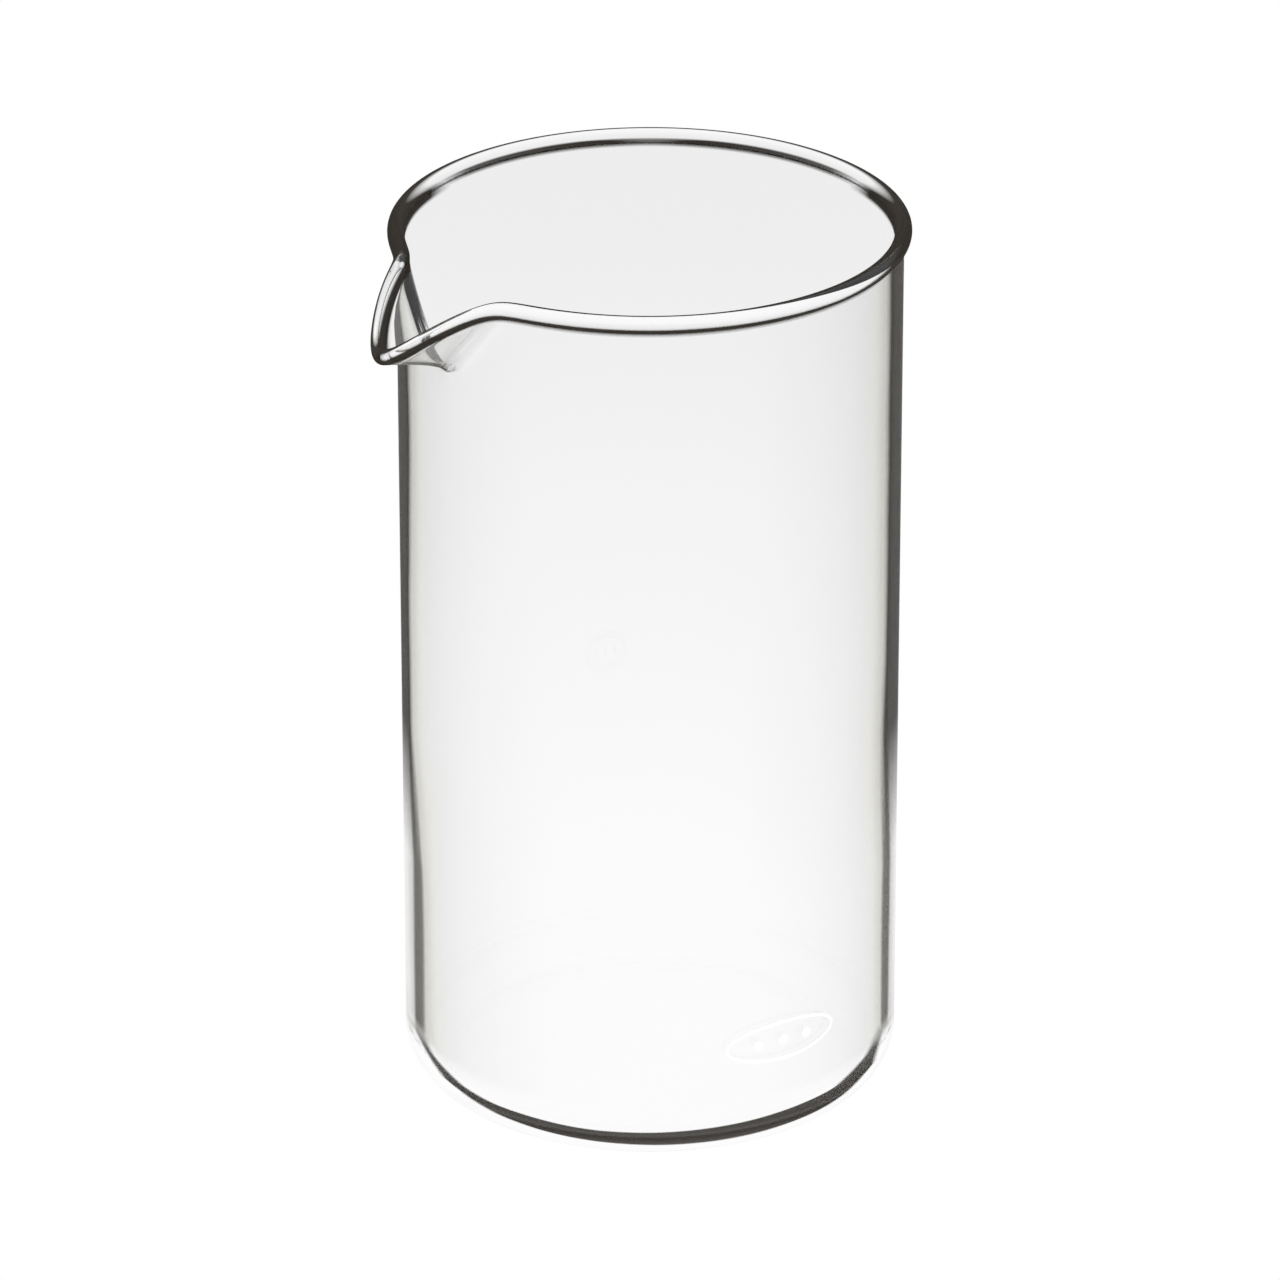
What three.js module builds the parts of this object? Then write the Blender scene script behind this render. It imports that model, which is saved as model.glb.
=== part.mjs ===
// A heat-resistant glass beaker with a fire-polished bead round its rim and a pulled pouring lip.
// Millimetres, +Z up. The origin is the middle of the flat base, on the axis of the wall.
// The lip points along -X, and the printed mark faces close to -Y.

import * as THREE from "three";
import { mergeVertices } from "three/addons/utils/BufferGeometryUtils.js";

// ---- Body of revolution ------------------------------------------------------------------

const bodyDiameter = 97;      // outside of the straight wall
const bodyHeight = 179;       // base to the top of the rim bead
const wallThickness = 1.8;
const baseThickness = 2.4;
const heelRadius = 9.5;       // outside fillet between wall and base
const heelInnerRadius = 9;    // inside fillet between wall and base
const beadProud = 1.5;        // how far the rim bead stands out past the wall

// ---- Pouring lip -------------------------------------------------------------------------

const lipReach = 14.5;        // how far the bead moves out at the tip
const lipDrop = 10.8;         // how far the bead sinks at the tip
const lipDepth = 19;          // from the rim down to where the lip leaves the wall
const lipHalfAngle = 17.6;    // degrees from the tip to either shoulder
const lipTipRound = 0.17;     // rounding of the tip, as a share of the half angle
const lipShoulderRound = 0.23;
const lipFootWidth = 0.3;     // width of the channel at its foot, as a share of its width at the rim
const lipDropPower = 1.6;     // above 1, the rim stays level longer before it sinks
const lipRise = 1.5;          // above 1, the channel leaves the wall gently

// ---- Printed mark ------------------------------------------------------------------------

const markGap = 0.3;          // clearance between the glass and the back of the enamel
const markThickness = 0.3;
const markWidth = 25;         // along the wall
const markHeight = 8.5;
const markStroke = 0.7;       // width of the ring's line
const markDotDiameter = 2;
const markDotPitch = 5.5;
const markDotCount = 3;
const markCentreHeight = 24.5; // above the base
const markAngle = -95;        // degrees round the axis from +X

// ---- Facets ------------------------------------------------------------------------------

const wallSegments = 76;      // round the axis
const wallCrowding = 0.62;    // draws the segments closer together at the lip
const heelSteps = 5;
const beadSteps = 10;
const lipSteps = 7;           // rings of the wall between the lip's foot and the bead
const markRingSteps = 48;
const markDotSteps = 16;

const bodyRadius = bodyDiameter / 2;
const innerRadius = bodyRadius - wallThickness;
const beadDiameter = wallThickness + beadProud;   // the bead is flush with the wall inside
const beadRadius = beadDiameter / 2;
const beadCentreRadius = innerRadius + beadRadius;
const beadCentreHeight = bodyHeight - beadRadius;
const radians = THREE.MathUtils.degToRad;

function arc(centreX, centreY, radius, startDegrees, endDegrees, steps) {
  const points = [];
  for (let step = 0; step <= steps; step += 1) {
    const angle = radians(startDegrees + ((endDegrees - startDegrees) * step) / steps);
    points.push(new THREE.Vector2(centreX + radius * Math.cos(angle), centreY + radius * Math.sin(angle)));
  }
  return points;
}

// The closed outline of the glass in (radius, height): out along the base, up the outside, round the
// bead, and down the inside to the axis.
function glassOutline() {
  // The bead starts where its circle crosses the outer face of the wall, and ends level with the inner face.
  const beadStart = -THREE.MathUtils.radToDeg(Math.acos((bodyRadius - beadCentreRadius) / beadRadius));
  const bead = arc(beadCentreRadius, beadCentreHeight, beadRadius, beadStart, 180, beadSteps);

  const lipFoot = bodyHeight - lipDepth;
  const wallTop = bead[0].y;
  const outside = [];
  const inside = [];
  for (let step = 0; step < lipSteps; step += 1) {
    const height = THREE.MathUtils.lerp(lipFoot, wallTop, step / lipSteps);
    outside.push(new THREE.Vector2(bodyRadius, height));
    inside.unshift(new THREE.Vector2(innerRadius, height));
  }

  return [
    new THREE.Vector2(0, 0),
    ...arc(bodyRadius - heelRadius, heelRadius, heelRadius, -90, 0, heelSteps),
    ...outside,
    ...bead,
    ...inside,
    ...arc(innerRadius - heelInnerRadius, baseThickness + heelInnerRadius, heelInnerRadius, 0, -90, heelSteps),
    new THREE.Vector2(0, baseThickness),
  ];
}

// One at the middle of the lip, nothing past its shoulders, rounded at both. across is 1 at the shoulder.
function lipProfile(across) {
  const tip = (Math.hypot(across, lipTipRound) - lipTipRound) / (Math.hypot(1, lipTipRound) - lipTipRound);
  const fall = 1 - tip;
  return (fall + Math.hypot(fall, lipShoulderRound)) / (1 + Math.hypot(1, lipShoulderRound));
}

// Moves a point of the plain body to where the pulled lip puts it.
function pullLip(point) {
  const rise = THREE.MathUtils.clamp((point.z - (bodyHeight - lipDepth)) / (lipDepth - beadDiameter), 0, 1);
  const radius = Math.hypot(point.x, point.y);
  if (rise === 0 || radius === 0) {
    return;
  }
  const fromTip = Math.abs(Math.atan2(point.y, -point.x));
  const halfAngle = radians(lipHalfAngle) * THREE.MathUtils.lerp(lipFootWidth, 1, rise);
  const profile = lipProfile(fromTip / halfAngle);
  const reach = lipReach * profile * rise ** lipRise;
  const drop = lipDrop * profile ** lipDropPower * rise;
  point.x *= (radius + reach) / radius;
  point.y *= (radius + reach) / radius;
  point.z -= drop;
}

function glassBeaker() {
  const lathe = new THREE.LatheGeometry(glassOutline(), wallSegments);
  lathe.rotateX(Math.PI / 2);
  lathe.deleteAttribute("normal");
  lathe.deleteAttribute("uv");
  const positions = lathe.getAttribute("position");
  const point = new THREE.Vector3();
  for (let index = 0; index < positions.count; index += 1) {
    point.fromBufferAttribute(positions, index);
    const radius = Math.hypot(point.x, point.y);
    const fromLip = Math.atan2(point.y, -point.x);
    const crowded = fromLip - wallCrowding * Math.sin(fromLip);
    point.x = -radius * Math.cos(crowded);
    point.y = radius * Math.sin(crowded);
    pullLip(point);
    positions.setXYZ(index, point.x, point.y, point.z);
  }
  const geometry = mergeVertices(lathe);
  const glass = new THREE.MeshStandardMaterial({
    color: 0xf4f7f6, roughness: 0.03, metalness: 0, transparent: true, opacity: 0.35,
  });
  return new THREE.Mesh(geometry, glass);
}

// Bends a flat shape, with its width along X, its height along Y and its back at z = 0, round the wall.
function wrapRoundWall(geometry) {
  geometry.deleteAttribute("normal");
  geometry.deleteAttribute("uv");
  const positions = geometry.getAttribute("position");
  for (let index = 0; index < positions.count; index += 1) {
    const angle = radians(markAngle) + positions.getX(index) / bodyRadius;
    const radius = bodyRadius + markGap + positions.getZ(index);
    const height = markCentreHeight + positions.getY(index);
    positions.setXYZ(index, radius * Math.cos(angle), radius * Math.sin(angle), height);
  }
  return mergeVertices(geometry);
}

function enamel() {
  return new THREE.MeshStandardMaterial({ color: 0xffffff, roughness: 0.35, metalness: 0 });
}

// A ring of rectangular section turned about the axis, its two halves then drawn apart into an oval.
function markRing() {
  const outer = markHeight / 2;
  const inner = outer - markStroke;
  const section = [
    new THREE.Vector2(inner, 0),
    new THREE.Vector2(outer, 0),
    new THREE.Vector2(outer, markThickness),
    new THREE.Vector2(inner, markThickness),
    new THREE.Vector2(inner, 0),
  ];
  const ring = new THREE.LatheGeometry(section, markRingSteps);
  ring.rotateX(Math.PI / 2);
  const positions = ring.getAttribute("position");
  for (let index = 0; index < positions.count; index += 1) {
    const x = positions.getX(index);
    const sideways = x / Math.hypot(x, positions.getY(index));
    positions.setX(index, x + (sideways * (markWidth - markHeight)) / 2);
  }
  return new THREE.Mesh(wrapRoundWall(ring), enamel());
}

function markDot(offset) {
  const circle = new THREE.EllipseCurve(offset, 0, markDotDiameter / 2, markDotDiameter / 2);
  const outline = new THREE.Shape(circle.getPoints(markDotSteps).slice(0, -1));
  const dot = new THREE.ExtrudeGeometry(outline, { depth: markThickness, bevelEnabled: false });
  return new THREE.Mesh(wrapRoundWall(dot), enamel());
}

const group = new THREE.Group();

const glass = glassBeaker();
glass.name = "glass_beaker";
group.add(glass);

const ring = markRing();
ring.name = "mark_ring";
group.add(ring);

for (let number = 1; number <= markDotCount; number += 1) {
  const dot = markDot((number - (markDotCount + 1) / 2) * markDotPitch);
  dot.name = `mark_dot_${number}`;
  group.add(dot);
}

export default group;
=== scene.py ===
"""A clear glass beaker with a beaded rim, a pulled pouring lip and a small white enamel mark.

Metres, +Z up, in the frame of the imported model: the origin is the middle of the flat base, the lip points
along -X, and the mark faces close to -Y.
"""

import math

import bmesh
import bpy
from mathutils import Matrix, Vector


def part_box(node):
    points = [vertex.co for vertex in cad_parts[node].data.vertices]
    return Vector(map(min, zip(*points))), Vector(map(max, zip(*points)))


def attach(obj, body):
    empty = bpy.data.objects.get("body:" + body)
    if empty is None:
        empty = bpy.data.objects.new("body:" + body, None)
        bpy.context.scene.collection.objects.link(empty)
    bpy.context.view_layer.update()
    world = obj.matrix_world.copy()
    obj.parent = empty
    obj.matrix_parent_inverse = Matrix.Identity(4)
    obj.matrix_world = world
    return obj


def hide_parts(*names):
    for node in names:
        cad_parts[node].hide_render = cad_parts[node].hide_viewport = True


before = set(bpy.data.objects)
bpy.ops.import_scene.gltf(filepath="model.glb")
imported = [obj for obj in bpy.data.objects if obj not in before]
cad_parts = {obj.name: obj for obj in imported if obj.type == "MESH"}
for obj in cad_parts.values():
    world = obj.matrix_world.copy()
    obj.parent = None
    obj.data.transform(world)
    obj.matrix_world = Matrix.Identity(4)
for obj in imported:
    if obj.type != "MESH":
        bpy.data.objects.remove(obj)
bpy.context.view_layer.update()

MM = 0.001

# ---- The glass ---------------------------------------------------------------------------

GLASS_LOW, GLASS_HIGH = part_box("glass_beaker")
BODY_HEIGHT = GLASS_HIGH[2]
RIM_RADIUS = GLASS_HIGH[0]            # outside of the rim bead, opposite the lip
BEAD_PROUD = 1.5 * MM
WALL = 1.8 * MM
BASE = 2.4 * MM
HEEL_RADIUS = 9.5 * MM
HEEL_INNER_RADIUS = 9 * MM

BODY_RADIUS = RIM_RADIUS - BEAD_PROUD
INNER_RADIUS = BODY_RADIUS - WALL
BEAD_RADIUS = (WALL + BEAD_PROUD) / 2
BEAD_CENTRE = Vector((INNER_RADIUS + BEAD_RADIUS, BODY_HEIGHT - BEAD_RADIUS))

LIP_REACH = 14.5 * MM
LIP_DROP = 10.8 * MM
LIP_DEPTH = 19 * MM
LIP_HALF_ANGLE = math.radians(17.6)
LIP_TIP_ROUND = 0.17
LIP_SHOULDER_ROUND = 0.23
LIP_FOOT_WIDTH = 0.3
LIP_DROP_POWER = 1.6
LIP_RISE = 1.5

SPIN_STEPS = 200
SPIN_CROWDING = 0.62
HEEL_STEPS = 18
BEAD_STEPS = 22
LIP_STEPS = 16
WALL_STEPS = 6
BASE_STEPS = 6
UNDER_BEAD_STEPS = 4
MERGE_DISTANCE = 0.001 * MM

# ---- The camera --------------------------------------------------------------------------

CAMERA_AZIMUTH = math.radians(-37.1)
CAMERA_ELEVATION = math.radians(24.76)
CAMERA_DISTANCE = 1.690
CAMERA_LENS = 243.5
CAMERA_SENSOR = 36.0
CAMERA_AIM_HEIGHT = 85 * MM
CAMERA_SHIFT = (-0.0079, 0.0211)
CAMERA_NEAR = 0.05
CAMERA_FAR = 30

# ---- The look of the glass ---------------------------------------------------------------

GLASS_IOR = 1.473
# Colour of the dark matt shader that paints shade on the glass's edges.
PAINTED_EDGE_SHADE = (0.026, 0.022, 0.018, 1)
WIDE_SIDE = math.radians(-37)         # the painted dark edges are wider on this side, round the axis from +X
WIDE_SIDE_SHIFT_HIGH = 0.025          # how much sooner the painted dark edge starts there, high on the wall
WIDE_SIDE_SHIFT_LOW = -0.034          # and low on the wall, where it starts later
LOW_EDGE_TOP = 50 * MM                # the wall's painted dark edge has its low look up to here
HIGH_EDGE_FOOT = 78 * MM              # and its high look from here
HEEL_BAND_TOP = 12 * MM               # the heel's painted dark band gives way to the wall's painted dark edge from here
WALL_EDGE_FOOT = 16 * MM              # to here
TINT_FOOT = 8 * MM                    # the painted shade on the light through the wall comes in from here
TINT_FULL = 14 * MM                   # to here
HEEL_RAMP_TOP = 20 * MM               # the heel's painted dark band is described up to this height
HEEL_BAND_SOFTNESS = 0.05
WAVE_SCALE = 28
WAVE_STRETCH = 0.45
WAVE_START = (0.3, 0.1, 0)
WAVE_STRENGTH = 0.12
LIP_FADE_RATE = 1.8                   # how soon the wall's painted dark edge fades on the way into the lip
LIP_FADE_DEPTH = 0.7
LIP_BEAD_SHIFT = 0.28                 # how much sooner the bead's painted shade starts on the lip

# ---- The mark ----------------------------------------------------------------------------

MARK_LIFT = 0.02 * MM                 # clearance between the glass and the back of the enamel
MARK_THICKNESS = 0.12 * MM
MARK_WIDTH = 25 * MM
MARK_HEIGHT = 8.5 * MM
MARK_STROKE = 0.7 * MM
MARK_DOT_DIAMETER = 2 * MM
MARK_DOT_PITCH = 5.5 * MM
MARK_DOT_COUNT = 3
MARK_CENTRE_HEIGHT = 24.5 * MM
MARK_ANGLE = math.radians(-95)
MARK_RING_STEPS = 96
MARK_DOT_STEPS = 24
ENAMEL_GRAIN_SCALE = 4000
ENAMEL_GRAIN_DEPTH = 0.02 * MM

# ---- The studio --------------------------------------------------------------------------

FLOOR_RADIUS = 6.0
FLOOR_SEGMENTS = 96
FLOOR_LOW = 0.2 * MM                  # how far the floor lies under the glass
FAR_FLOOR = 0.82                      # how bright the glass sees the floor far away
MATT_EXTRA_LIGHT = 0.4                # so that the enamel is whiter than the ground behind the glass
TENT_SIDE = FAR_FLOOR                 # the tent just above the floor is as bright, to hide the horizon
LIGHT_BOUNCES = 96                    # with 24 the heel's sides turn dark
GLOSSY_BOUNCES = 64


def arc(centre, radius, start, end, steps):
    """Points round a centre, from one angle to another, in degrees."""
    points = []
    for step in range(steps + 1):
        angle = math.radians(start + (end - start) * step / steps)
        points.append(centre + Vector((radius * math.cos(angle), radius * math.sin(angle))))
    return points


def spaced(start, end, steps):
    """Points from start up to, but not including, end."""
    return [start.lerp(end, step / steps) for step in range(steps)]


def glass_outline():
    """The wall's closed outline in radius and height, from the axis under the base to the axis above it."""
    heel = Vector((BODY_RADIUS - HEEL_RADIUS, HEEL_RADIUS))
    inner_heel = Vector((INNER_RADIUS - HEEL_INNER_RADIUS, BASE + HEEL_INNER_RADIUS))
    lip_foot = BODY_HEIGHT - LIP_DEPTH
    bead_start = -math.degrees(math.acos((BODY_RADIUS - BEAD_CENTRE.x) / BEAD_RADIUS))
    bead = arc(BEAD_CENTRE, BEAD_RADIUS, bead_start, 180, BEAD_STEPS)
    outer_foot = Vector((BODY_RADIUS, lip_foot))
    inner_foot = Vector((INNER_RADIUS, lip_foot))
    outer_heel = arc(heel, HEEL_RADIUS, -90, 0, HEEL_STEPS)
    inner_heel_arc = arc(inner_heel, HEEL_INNER_RADIUS, 0, -90, HEEL_STEPS)
    below_bead = Vector((INNER_RADIUS, BODY_HEIGHT - 2 * BEAD_RADIUS))
    return (
        spaced(Vector((0, 0)), outer_heel[0], BASE_STEPS)
        + outer_heel[:-1]
        + spaced(outer_heel[-1], outer_foot, WALL_STEPS)
        + spaced(outer_foot, bead[0], LIP_STEPS)
        + bead[:-1]
        + spaced(bead[-1], below_bead, UNDER_BEAD_STEPS)
        + spaced(below_bead, inner_foot, LIP_STEPS)
        + spaced(inner_foot, inner_heel_arc[0], WALL_STEPS)
        + inner_heel_arc[:-1]
        + spaced(inner_heel_arc[-1], Vector((0, BASE)), BASE_STEPS)
        + [Vector((0, BASE))]
    )


def lip_profile(across):
    """One at the middle of the lip, nothing past its shoulders; across is 1 at a shoulder."""
    tip = (math.hypot(across, LIP_TIP_ROUND) - LIP_TIP_ROUND) / (math.hypot(1, LIP_TIP_ROUND) - LIP_TIP_ROUND)
    fall = 1 - tip
    return (fall + math.hypot(fall, LIP_SHOULDER_ROUND)) / (1 + math.hypot(1, LIP_SHOULDER_ROUND))


def pull_lip(point):
    """Moves a point of the plain body out into the pulled lip, and says how far it is part of the lip."""
    rise = (point.z - (BODY_HEIGHT - LIP_DEPTH)) / (LIP_DEPTH - 2 * BEAD_RADIUS)
    rise = min(max(rise, 0), 1)
    radius = math.hypot(point.x, point.y)
    if rise == 0 or radius == 0:
        return 0
    from_tip = abs(math.atan2(point.y, -point.x))
    half_angle = LIP_HALF_ANGLE * (LIP_FOOT_WIDTH + (1 - LIP_FOOT_WIDTH) * rise)
    profile = lip_profile(from_tip / half_angle)
    reach = LIP_REACH * profile * rise ** LIP_RISE
    point.x *= (radius + reach) / radius
    point.y *= (radius + reach) / radius
    point.z -= LIP_DROP * profile ** LIP_DROP_POWER * rise
    return profile * rise


def crowd_towards_lip(point):
    """Turns a point round the axis so that the spin's steps lie closer together at the lip."""
    radius = math.hypot(point.x, point.y)
    angle = math.atan2(point.y, -point.x)
    angle -= SPIN_CROWDING * math.sin(angle)
    point.x = -radius * math.cos(angle)
    point.y = radius * math.sin(angle)


def new_piece(name, bm, material, body="root"):
    """A finished object at the origin, with its place in its mesh."""
    mesh = bpy.data.meshes.new(name)
    bm.to_mesh(mesh)
    bm.free()
    for face in mesh.polygons:
        face.use_smooth = True
    mesh.materials.append(material)
    piece = bpy.data.objects.new(name, mesh)
    bpy.context.scene.collection.objects.link(piece)
    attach(piece, body)
    return piece


def between(value, low, high, soft):
    """One between low and high, falling to nothing over soft on either side."""
    return min(max((value - low) / soft + 1, 0), max((high - value) / soft + 1, 0), 1)


def under_bead(radius, height):
    """One on the lower half of the rim bead, outside the wall, which painted shade darkens there."""
    below = (BEAD_CENTRE.y - height) / BEAD_RADIUS
    return between(below, 0.35, 1, 0.15) if radius > BEAD_CENTRE.x else 0


def inside_bead(radius, height):
    """One on a narrow strip inside the wall, behind the lower half of the rim bead, darkened by painted
    shade.
    """
    below = (BEAD_CENTRE.y - height) / BEAD_RADIUS
    return between(below, 0, 0.7, 0.2) if radius < BEAD_CENTRE.x else 0


def rim_bead(radius, height):
    """One all round the rim bead, which painted shade darkens where it is turned edge on."""
    return between(height, BODY_HEIGHT - 2 * BEAD_RADIUS, BODY_HEIGHT, 0.1 * MM)


def outer_face(radius, height):
    """One on the outside of the base, heel and wall, up to the bead, where painted shade falls; none inside.
    """
    across = max(radius - (BODY_RADIUS - HEEL_RADIUS), 0)
    outside = math.hypot(across, min(height - HEEL_RADIUS, 0)) > HEEL_RADIUS - WALL / 2
    return between(height, 0, BODY_HEIGHT - 2.2 * BEAD_RADIUS, 0.3 * MM) if outside else 0


# Masks kept with the glass's mesh, which say where the material paints shade.
ZONES = {
    "under_bead": under_bead, "inside_bead": inside_bead, "rim_bead": rim_bead, "outer_face": outer_face,
}


def glass_body(material):
    """The glass: its outline spun round the axis, then pulled out into the lip."""
    bm = bmesh.new()
    for name in ("lip", *ZONES):
        bm.verts.layers.float.new(name)
    zones = {bm.verts.layers.float[name]: share for name, share in ZONES.items()}
    lip = bm.verts.layers.float["lip"]
    # The outline is drawn on the side away from the lip, so the spin's seam is there too.
    verts = [bm.verts.new((point.x, 0, point.y)) for point in glass_outline()]
    edges = [bm.edges.new(pair) for pair in zip(verts, verts[1:])]
    bmesh.ops.spin(
        bm, geom=verts + edges, axis=(0, 0, 1), cent=(0, 0, 0), angle=2 * math.pi,
        steps=SPIN_STEPS, use_merge=True, use_duplicate=False,
    )
    bmesh.ops.remove_doubles(bm, verts=bm.verts, dist=MERGE_DISTANCE)
    bmesh.ops.recalc_face_normals(bm, faces=bm.faces)
    # Each vertex keeps its share of each painted-shade zone, and how far it is part of the lip.
    for vert in bm.verts:
        for layer, share in zones.items():
            vert[layer] = share(math.hypot(vert.co.x, vert.co.y), vert.co.z)
        crowd_towards_lip(vert.co)
        vert[lip] = pull_lip(vert.co)
    piece = new_piece("glass_body", bm, material)
    smooth = piece.modifiers.new("smooth", "SUBSURF")
    smooth.levels = 1
    smooth.render_levels = 1
    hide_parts("glass_beaker")


def wrap_round_wall(bm):
    """Bends a flat shape, its width along X and its height along Y, round the outside of the wall."""
    for vert in bm.verts:
        angle = MARK_ANGLE + vert.co.x / BODY_RADIUS
        radius = BODY_RADIUS + MARK_LIFT + vert.co.z
        height = MARK_CENTRE_HEIGHT + vert.co.y
        vert.co = Vector((radius * math.cos(angle), radius * math.sin(angle), height))


def mark_ring(material):
    """The oval ring: a low rounded section turned about the axis, its two halves then drawn apart."""
    bm = bmesh.new()
    middle = (MARK_HEIGHT - MARK_STROKE) / 2
    half = MARK_STROKE / 2
    section = [
        (middle - half, 0), (middle + half, 0),
        (middle + half * 0.9, MARK_THICKNESS * 0.7), (middle + half * 0.5, MARK_THICKNESS),
        (middle - half * 0.5, MARK_THICKNESS), (middle - half * 0.9, MARK_THICKNESS * 0.7),
    ]
    verts = [bm.verts.new((radius, 0, height)) for radius, height in section]
    edges = [bm.edges.new(pair) for pair in zip(verts, verts[1:] + verts[:1])]
    bmesh.ops.spin(
        bm, geom=verts + edges, axis=(0, 0, 1), cent=(0, 0, 0), angle=2 * math.pi,
        steps=MARK_RING_STEPS, use_merge=True, use_duplicate=False,
    )
    bmesh.ops.remove_doubles(bm, verts=bm.verts, dist=MERGE_DISTANCE)
    bmesh.ops.recalc_face_normals(bm, faces=bm.faces)
    for vert in bm.verts:
        sideways = vert.co.x / math.hypot(vert.co.x, vert.co.y)
        vert.co.x += sideways * (MARK_WIDTH - MARK_HEIGHT) / 2
    wrap_round_wall(bm)
    piece = new_piece("enamel_ring", bm, material)
    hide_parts("mark_ring")


def mark_dot(number, material):
    """One of the row of round dots inside the ring, its upper edge rounded."""
    bm = bmesh.new()
    bmesh.ops.create_circle(bm, cap_ends=True, segments=MARK_DOT_STEPS, radius=MARK_DOT_DIAMETER / 2)
    raised = bmesh.ops.extrude_face_region(bm, geom=bm.faces[:])
    top = [item for item in raised["geom"] if isinstance(item, bmesh.types.BMVert)]
    bmesh.ops.translate(bm, verts=top, vec=(0, 0, MARK_THICKNESS))
    top_edges = [edge for edge in bm.edges if all(vert in top for vert in edge.verts)]
    bmesh.ops.bevel(
        bm, geom=top_edges, offset=MARK_THICKNESS * 0.8, segments=3, profile=0.5,
        affect="EDGES", material=-1,
    )
    bmesh.ops.recalc_face_normals(bm, faces=bm.faces)
    offset = (number - (MARK_DOT_COUNT + 1) / 2) * MARK_DOT_PITCH
    bmesh.ops.translate(bm, verts=bm.verts, vec=(offset, 0, 0))
    wrap_round_wall(bm)
    piece = new_piece(f"enamel_dot_{number}", bm, material)
    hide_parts(f"mark_dot_{number}")


# ---- Materials ---------------------------------------------------------------------------

def ramp_of(nodes, name, stops):
    """A colour ramp with the given (position, grey or colour) stops."""
    ramp = nodes.new("ShaderNodeValToRGB")
    ramp.name = name
    elements = ramp.color_ramp.elements
    while len(elements) < len(stops):
        elements.new(0.5)
    for element, (position, colour) in zip(elements, stops):
        element.position = position
        if not isinstance(colour, tuple):
            colour = (colour, colour, colour)
        element.color = (*colour, 1)
    return ramp


def calculate(material, operation, *values):
    """A Math node over two or three sockets or numbers."""
    node = material.node_tree.nodes.new("ShaderNodeMath")
    node.operation = operation
    for socket, value in zip(node.inputs, values):
        if isinstance(value, (int, float)):
            socket.default_value = value
        else:
            material.node_tree.links.new(value, socket)
    return node.outputs["Value"]


def zone(material, name):
    """A share from 0 to 1 that is kept with the glass's mesh."""
    node = material.node_tree.nodes.new("ShaderNodeAttribute")
    node.attribute_name = name
    return node.outputs["Fac"]


def object_place(material):
    """The place on the piece, in metres."""
    return material.node_tree.nodes.new("ShaderNodeTexCoord").outputs["Object"]


def rise_between(material, low, high, at_low=0.0, at_high=1.0):
    """A value that goes from one number to another between two heights."""
    nodes, links = material.node_tree.nodes, material.node_tree.links
    place = nodes.new("ShaderNodeSeparateXYZ")
    links.new(object_place(material), place.inputs["Vector"])
    rise = nodes.new("ShaderNodeMapRange")
    rise.inputs["From Min"].default_value = low
    rise.inputs["From Max"].default_value = high
    rise.inputs["To Min"].default_value = at_low
    rise.inputs["To Max"].default_value = at_high
    links.new(place.outputs["Z"], rise.inputs["Value"])
    return rise.outputs["Result"]


def by_height(material, name, stops):
    """A value given at some heights of the heel, in millimetres."""
    shares = [(height * MM / HEEL_RAMP_TOP, value) for height, value in stops]
    ramp = ramp_of(material.node_tree.nodes, name, shares)
    material.node_tree.links.new(rise_between(material, 0, HEEL_RAMP_TOP), ramp.inputs["Fac"])
    return ramp.outputs["Color"]


def by_value(material, name, value, stops):
    """A grey or a colour given at some values of another socket, such as the slant."""
    ramp = ramp_of(material.node_tree.nodes, name, stops)
    material.node_tree.links.new(value, ramp.inputs["Fac"])
    return ramp.outputs["Color"]


def shaded(material, zone_name, slant, stops):
    """The share of shade in one zone of the glass, from how far the glass is turned there."""
    share = by_value(material, zone_name, slant, stops)
    return calculate(material, "MULTIPLY", zone(material, zone_name), share)


def wide_side(material):
    """One at the side where the painted dark edges are wider, minus one across from it."""
    side = material.node_tree.nodes.new("ShaderNodeVectorMath")
    side.operation = "DOT_PRODUCT"
    side.inputs[1].default_value = (math.cos(WIDE_SIDE) / BODY_RADIUS, math.sin(WIDE_SIDE) / BODY_RADIUS, 0)
    material.node_tree.links.new(object_place(material), side.inputs[0])
    return side.outputs["Value"]


def waves(material):
    """A small slow unevenness in where the painted shade falls, drawn out along the wall; the mesh itself
    stays even.
    """
    nodes, links = material.node_tree.nodes, material.node_tree.links
    stretch = nodes.new("ShaderNodeMapping")
    stretch.inputs["Scale"].default_value = (1, 1, WAVE_STRETCH)
    stretch.inputs["Location"].default_value = WAVE_START
    links.new(object_place(material), stretch.inputs["Vector"])
    ripple = nodes.new("ShaderNodeTexNoise")
    ripple.inputs["Scale"].default_value = WAVE_SCALE
    ripple.inputs["Detail"].default_value = 2
    links.new(stretch.outputs["Vector"], ripple.inputs["Vector"])
    centred = calculate(material, "SUBTRACT", ripple.outputs["Fac"], 0.5)
    return calculate(material, "MULTIPLY", centred, WAVE_STRENGTH)


def past_limit(material, first, second, shift):
    """How far the first value is past the second, moved by a shift: a half at the limit itself."""
    past = calculate(material, "ADD", calculate(material, "SUBTRACT", first, second), shift)
    return calculate(material, "ADD", calculate(material, "DIVIDE", past, HEEL_BAND_SOFTNESS), 0.5)


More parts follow.
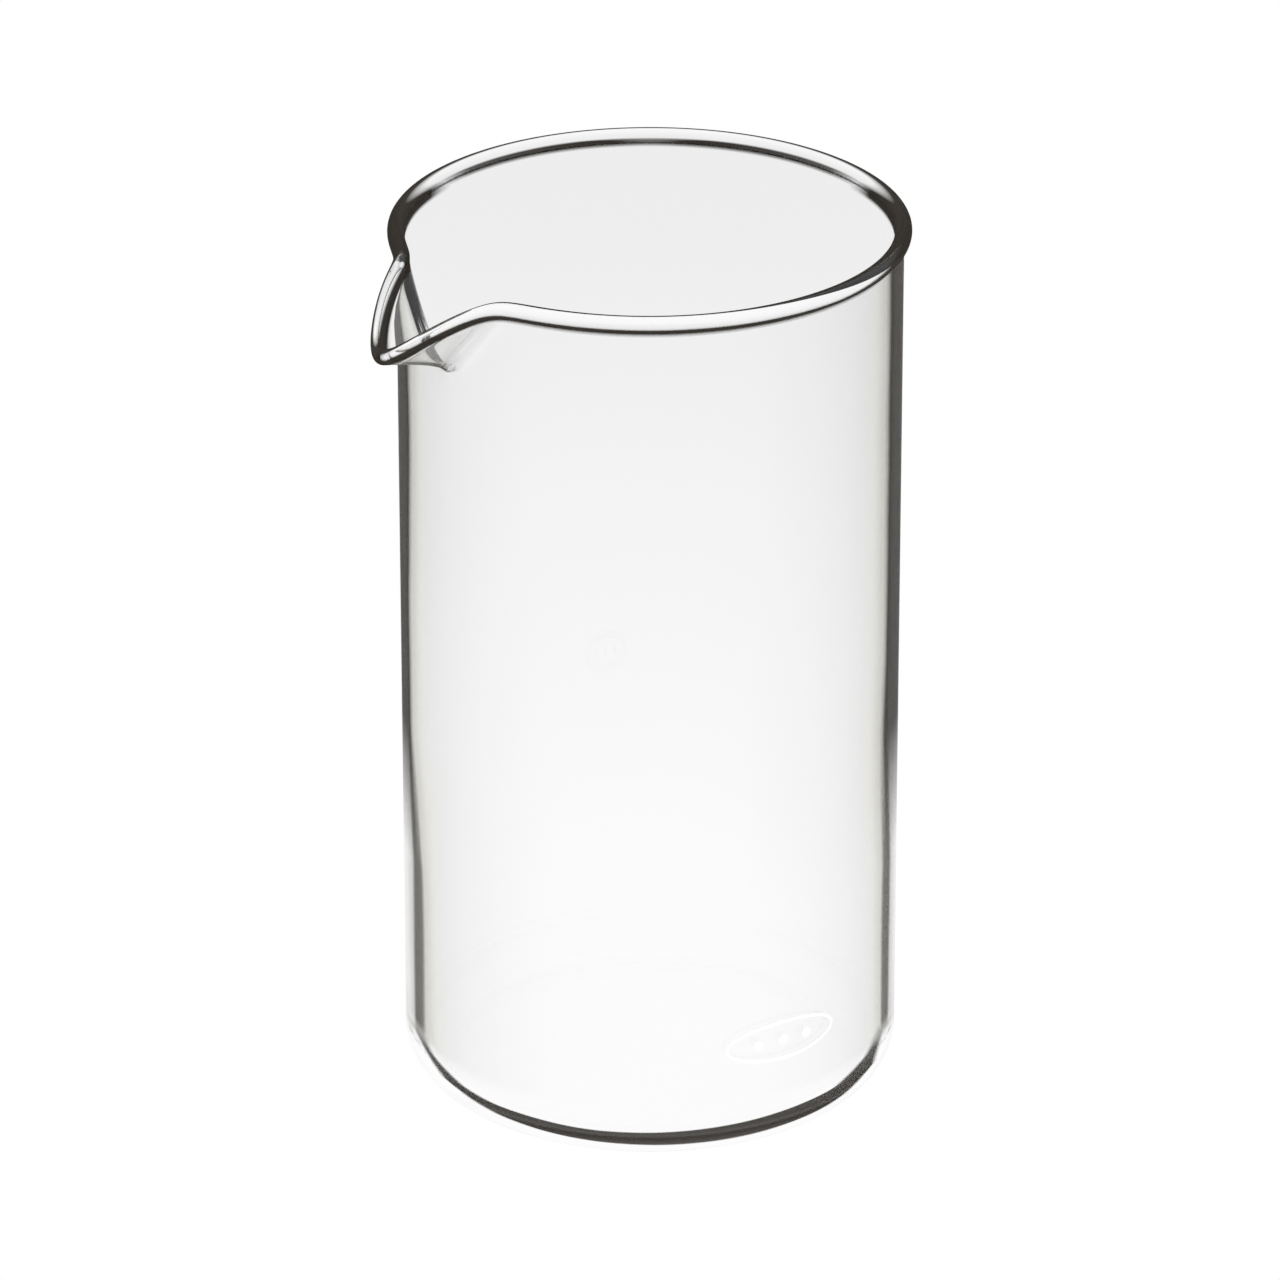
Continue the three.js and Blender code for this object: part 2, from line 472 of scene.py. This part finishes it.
def heel_band(material, slant):
    """The painted shade round the heel: a dark band, which runs up into the painted dark edges of the wall.

    At each height the band lies between two slants, and it is wider on one side of the glass.
    """
    side = wide_side(material)
    start = by_height(material, "band_start", [
        (7.0, 0.10), (7.9, 0.20), (8.7, 0.315), (9.5, 0.45), (12.0, 0.61), (14.5, 0.665), (17.0, 0.69),
    ])
    start_shift = by_height(material, "start_shift", [(8.7, 0.10), (9.5, 0.0)])
    end = by_height(material, "band_end", [
        (4.1, 0.475), (4.8, 0.50), (5.5, 0.57), (6.3, 0.60), (7.9, 0.605), (8.7, 0.635), (9.5, 0.63),
        (12.0, 0.70), (14.5, 0.785),
    ])
    end_shift = by_height(material, "end_shift", [
        (4.1, 0.18), (5.5, 0.12), (7.9, 0.09), (9.5, 0.06), (13.0, 0.0),
    ])
    past_start = past_limit(material, slant, start, calculate(material, "MULTIPLY", side, start_shift))
    before_end = past_limit(material, end, slant, calculate(material, "MULTIPLY", side, end_shift))
    inside = calculate(material, "MINIMUM", past_start, before_end)
    inside.node.use_clamp = True
    depth = by_height(material, "band_depth", [
        (3.0, 0.0), (3.6, 0.90), (5.5, 0.96), (6.3, 0.985), (7.0, 0.93), (7.9, 0.96), (12.0, 0.90),
        (17.0, 0.80),
    ])
    band = calculate(material, "MULTIPLY", inside, depth)
    # A thin line of painted shade where the heel and wall are seen almost edge on.
    outline = by_value(material, "outline", slant, [(0.92, 0.0), (0.99, 0.3)])
    band = calculate(material, "MAXIMUM", band, outline)
    return calculate(material, "MULTIPLY", band, zone(material, "outer_face"))


def wall_edge(material, slant):
    """The painted dark edges of the wall, which fade on the way into the lip.

    High up the wall the painted shade runs right to its edge; near the foot a lighter strip runs outside the
    dark one.
    """
    nodes, links = material.node_tree.nodes, material.node_tree.links
    low = shaded(material, "outer_face", slant, [
        (0.68, 0.0), (0.705, 0.70), (0.765, 0.78), (0.79, 0.32), (0.86, 0.14), (1.0, 0.04),
    ])
    high = shaded(material, "outer_face", slant, [
        (0.69, 0.0), (0.715, 0.35), (0.74, 0.92), (0.86, 0.92), (0.93, 0.90), (1.0, 0.82),
    ])
    edge = nodes.new("ShaderNodeMix")
    links.new(rise_between(material, LOW_EDGE_TOP, HIGH_EDGE_FOOT), edge.inputs["Factor"])
    links.new(low, edge.inputs["A"])
    links.new(high, edge.inputs["B"])
    near_lip = calculate(material, "MULTIPLY", zone(material, "lip"), LIP_FADE_RATE)
    near_lip.node.use_clamp = True
    off_lip = calculate(material, "SUBTRACT", 1.0, calculate(material, "MULTIPLY", near_lip, LIP_FADE_DEPTH))
    return calculate(material, "MULTIPLY", edge.outputs["Result"], off_lip)


def clear_glass():
    """Borosilicate glass. Edge on it is dark, as glass in front of a white ground is; here that dark is
    painted shade.

    The shade is painted by the material, because the studio round the glass is white on every side: a dark
    matt shader mixed in, and a darker colour for the light passing through the outer wall. The painted shade
    depends on how far the surface is turned from the line of sight: 0 face on, 1 edge on. It counts where a
    ray enters the glass, and not again where it leaves.
    """
    material = bpy.data.materials.new("clear_glass")
    material.use_nodes = True
    nodes, links = material.node_tree.nodes, material.node_tree.links
    shader = nodes["Principled BSDF"]
    shader.inputs["Roughness"].default_value = 0.0
    shader.inputs["IOR"].default_value = GLASS_IOR
    shader.inputs["Transmission Weight"].default_value = 1.0

    view = nodes.new("ShaderNodeLayerWeight")
    view.inputs["Blend"].default_value = 0.5
    face = nodes.new("ShaderNodeNewGeometry")
    entering = calculate(material, "SUBTRACT", 1.0, face.outputs["Backfacing"])
    slant = calculate(material, "MULTIPLY", view.outputs["Facing"], entering)
    heel_slant = calculate(material, "ADD", slant, waves(material))
    lean = rise_between(material, LOW_EDGE_TOP, HIGH_EDGE_FOOT, WIDE_SIDE_SHIFT_LOW, WIDE_SIDE_SHIFT_HIGH)
    lean = calculate(material, "MULTIPLY", wide_side(material), lean)
    wall_slant = calculate(material, "ADD", heel_slant, lean)

    # Painted shade on the light passing through the outer wall: its colour darkens as the wall turns edge on.
    painted_shade_slant = calculate(material, "MULTIPLY", wall_slant, zone(material, "outer_face"))
    painted_shade_slant = calculate(material, "MULTIPLY", painted_shade_slant, rise_between(material, TINT_FOOT, TINT_FULL))
    painted_shade_tint = by_value(material, "painted_shade_tint", painted_shade_slant, [
        (0.10, (0.992, 0.992, 0.992)), (0.17, (0.985, 0.985, 0.985)), (0.33, (0.90, 0.90, 0.90)),
        (0.45, (0.81, 0.81, 0.81)), (0.54, (0.71, 0.71, 0.705)), (0.595, (0.65, 0.645, 0.60)),
        (0.62, (0.59, 0.58, 0.53)), (0.645, (0.48, 0.47, 0.42)), (0.67, (0.37, 0.36, 0.31)),
        (0.70, (0.29, 0.28, 0.24)), (0.75, (0.29, 0.28, 0.24)), (0.80, (0.80, 0.79, 0.76)),
        (1.0, (0.90, 0.90, 0.88)),
    ])
    links.new(painted_shade_tint, shader.inputs["Base Color"])

    above_heel = rise_between(material, HEEL_BAND_TOP, WALL_EDGE_FOOT)
    below = calculate(material, "SUBTRACT", 1.0, above_heel)
    wall = calculate(material, "MULTIPLY", wall_edge(material, wall_slant), above_heel)
    heel = calculate(material, "MULTIPLY", heel_band(material, heel_slant), below)
    shade = calculate(material, "MAXIMUM", wall, heel)
    # Painted shade on the rim bead: on its lower half, on the strip behind it, and where it is turned edge
    # on.
    bead_slant = calculate(material, "MULTIPLY_ADD", zone(material, "lip"), LIP_BEAD_SHIFT, slant)
    bead_slant = calculate(material, "MULTIPLY", bead_slant, entering)
    for zone_name, turned, stops in (
        ("under_bead", slant, [(0.02, 0.0), (0.075, 0.99)]),
        ("inside_bead", slant, [(0.02, 0.0), (0.075, 0.99), (0.36, 0.9), (0.55, 0.0)]),
        ("rim_bead", bead_slant, [(0.45, 0.0), (0.58, 0.985)]),
    ):
        shade = calculate(material, "MAXIMUM", shade, shaded(material, zone_name, turned, stops))
    shade = calculate(material, "MULTIPLY", shade, entering)

    # The dark matt shader of the painted shade, mixed over the glass by the shade worked out above.
    dark = nodes.new("ShaderNodeBsdfPrincipled")
    dark.inputs["Base Color"].default_value = PAINTED_EDGE_SHADE
    dark.inputs["Roughness"].default_value = 0.4
    dark.inputs["Specular IOR Level"].default_value = 0.0
    mix = nodes.new("ShaderNodeMixShader")
    links.new(shade, mix.inputs["Fac"])
    links.new(shader.outputs["BSDF"], mix.inputs[1])
    links.new(dark.outputs["BSDF"], mix.inputs[2])
    links.new(mix.outputs["Shader"], nodes["Material Output"].inputs["Surface"])
    return material


def white_enamel():
    """White ceramic enamel with a fine grain."""
    material = bpy.data.materials.new("white_enamel")
    material.use_nodes = True
    nodes, links = material.node_tree.nodes, material.node_tree.links
    shader = nodes["Principled BSDF"]
    grain = nodes.new("ShaderNodeTexNoise")
    grain.inputs["Scale"].default_value = ENAMEL_GRAIN_SCALE
    grain.inputs["Detail"].default_value = 3
    links.new(object_place(material), grain.inputs["Vector"])
    tone = by_value(material, "tone", grain.outputs["Fac"], [
        (0.3, (0.93, 0.93, 0.92)), (0.7, (0.98, 0.98, 0.975)),
    ])
    links.new(tone, shader.inputs["Base Color"])
    gloss = by_value(material, "gloss", grain.outputs["Fac"], [(0.3, 0.28), (0.7, 0.42)])
    links.new(gloss, shader.inputs["Roughness"])
    bump = nodes.new("ShaderNodeBump")
    bump.inputs["Strength"].default_value = 0.2
    bump.inputs["Distance"].default_value = ENAMEL_GRAIN_DEPTH
    links.new(grain.outputs["Fac"], bump.inputs["Height"])
    links.new(bump.outputs["Normal"], shader.inputs["Normal"])
    return material


# ---- Studio ------------------------------------------------------------------------------

def white_outside_the_glass(nodes, links, colour, emitter):
    """Feeds an emitter the colour that the glass sees.

    The camera sees white, and matt surfaces see a white that is a little brighter still.
    """
    path = nodes.new("ShaderNodeLightPath")
    outside = nodes.new("ShaderNodeMath")
    outside.operation = "MAXIMUM"
    links.new(path.outputs["Is Camera Ray"], outside.inputs[0])
    links.new(path.outputs["Is Diffuse Ray"], outside.inputs[1])
    seen = nodes.new("ShaderNodeMix")
    seen.data_type = "RGBA"
    links.new(outside.outputs["Value"], seen.inputs["Factor"])
    links.new(colour, seen.inputs["A"])
    seen.inputs["B"].default_value = (1, 1, 1, 1)
    links.new(seen.outputs["Result"], emitter.inputs["Color"])
    strength = nodes.new("ShaderNodeMath")
    strength.operation = "MULTIPLY_ADD"
    links.new(path.outputs["Is Diffuse Ray"], strength.inputs[0])
    strength.inputs[1].default_value = MATT_EXTRA_LIGHT
    strength.inputs[2].default_value = 1.0
    links.new(strength.outputs["Value"], emitter.inputs["Strength"])


def studio_floor():
    """A white light table, which the glass sees a little dimmer further away."""
    bm = bmesh.new()
    bmesh.ops.create_circle(bm, cap_ends=True, segments=FLOOR_SEGMENTS, radius=FLOOR_RADIUS)
    mesh = bpy.data.meshes.new("studio_floor")
    bm.to_mesh(mesh)
    bm.free()
    floor = bpy.data.objects.new("studio_floor", mesh)
    bpy.context.scene.collection.objects.link(floor)
    floor.location.z = -FLOOR_LOW
    material = bpy.data.materials.new("white_light_table")
    material.use_nodes = True
    nodes, links = material.node_tree.nodes, material.node_tree.links
    nodes.clear()
    output = nodes.new("ShaderNodeOutputMaterial")
    coords = nodes.new("ShaderNodeTexCoord")
    radius = nodes.new("ShaderNodeVectorMath")
    radius.operation = "LENGTH"
    links.new(coords.outputs["Object"], radius.inputs[0])
    fade = ramp_of(nodes, "fade", [(0.08, 0.985), (0.43, 0.86), (1.0, FAR_FLOOR)])
    links.new(radius.outputs["Value"], fade.inputs["Fac"])
    glow = nodes.new("ShaderNodeEmission")
    white_outside_the_glass(nodes, links, fade.outputs["Color"], glow)
    links.new(glow.outputs["Emission"], output.inputs["Surface"])
    mesh.materials.append(material)


def studio_world():
    """A white tent, which the glass sees a little dimmer just above the floor."""
    world = bpy.data.worlds.new("studio")
    bpy.context.scene.world = world
    world.use_nodes = True
    nodes, links = world.node_tree.nodes, world.node_tree.links
    background = nodes["Background"]
    coords = nodes.new("ShaderNodeTexCoord")
    split = nodes.new("ShaderNodeSeparateXYZ")
    links.new(coords.outputs["Generated"], split.inputs["Vector"])
    tent = ramp_of(nodes, "tent", [(0.02, TENT_SIDE), (0.20, TENT_SIDE), (0.33, 1.0), (0.95, 1.0)])
    links.new(split.outputs["Z"], tent.inputs["Fac"])
    white_outside_the_glass(nodes, links, tent.outputs["Color"], background)


def studio_camera():
    """A long lens a little above the rim, turned towards the lip's side."""
    data = bpy.data.cameras.new("camera")
    data.lens = CAMERA_LENS
    data.sensor_width = CAMERA_SENSOR
    data.shift_x, data.shift_y = CAMERA_SHIFT
    data.clip_start = CAMERA_NEAR
    data.clip_end = CAMERA_FAR
    camera = bpy.data.objects.new("camera", data)
    bpy.context.scene.collection.objects.link(camera)
    level = math.cos(CAMERA_ELEVATION)
    back = Vector((
        math.sin(CAMERA_AZIMUTH) * level, -math.cos(CAMERA_AZIMUTH) * level, math.sin(CAMERA_ELEVATION),
    ))
    camera.location = Vector((0, 0, CAMERA_AIM_HEIGHT)) + back * CAMERA_DISTANCE
    camera.rotation_euler = back.to_track_quat("Z", "Y").to_euler()
    bpy.context.scene.camera = camera


studio_camera()
studio_floor()
studio_world()
glass_body(clear_glass())
enamel = white_enamel()
mark_ring(enamel)
for number in range(1, MARK_DOT_COUNT + 1):
    mark_dot(number, enamel)

scene = bpy.context.scene
scene.view_settings.view_transform = "Standard"
scene.cycles.max_bounces = LIGHT_BOUNCES
scene.cycles.transmission_bounces = LIGHT_BOUNCES
scene.cycles.glossy_bounces = GLOSSY_BOUNCES
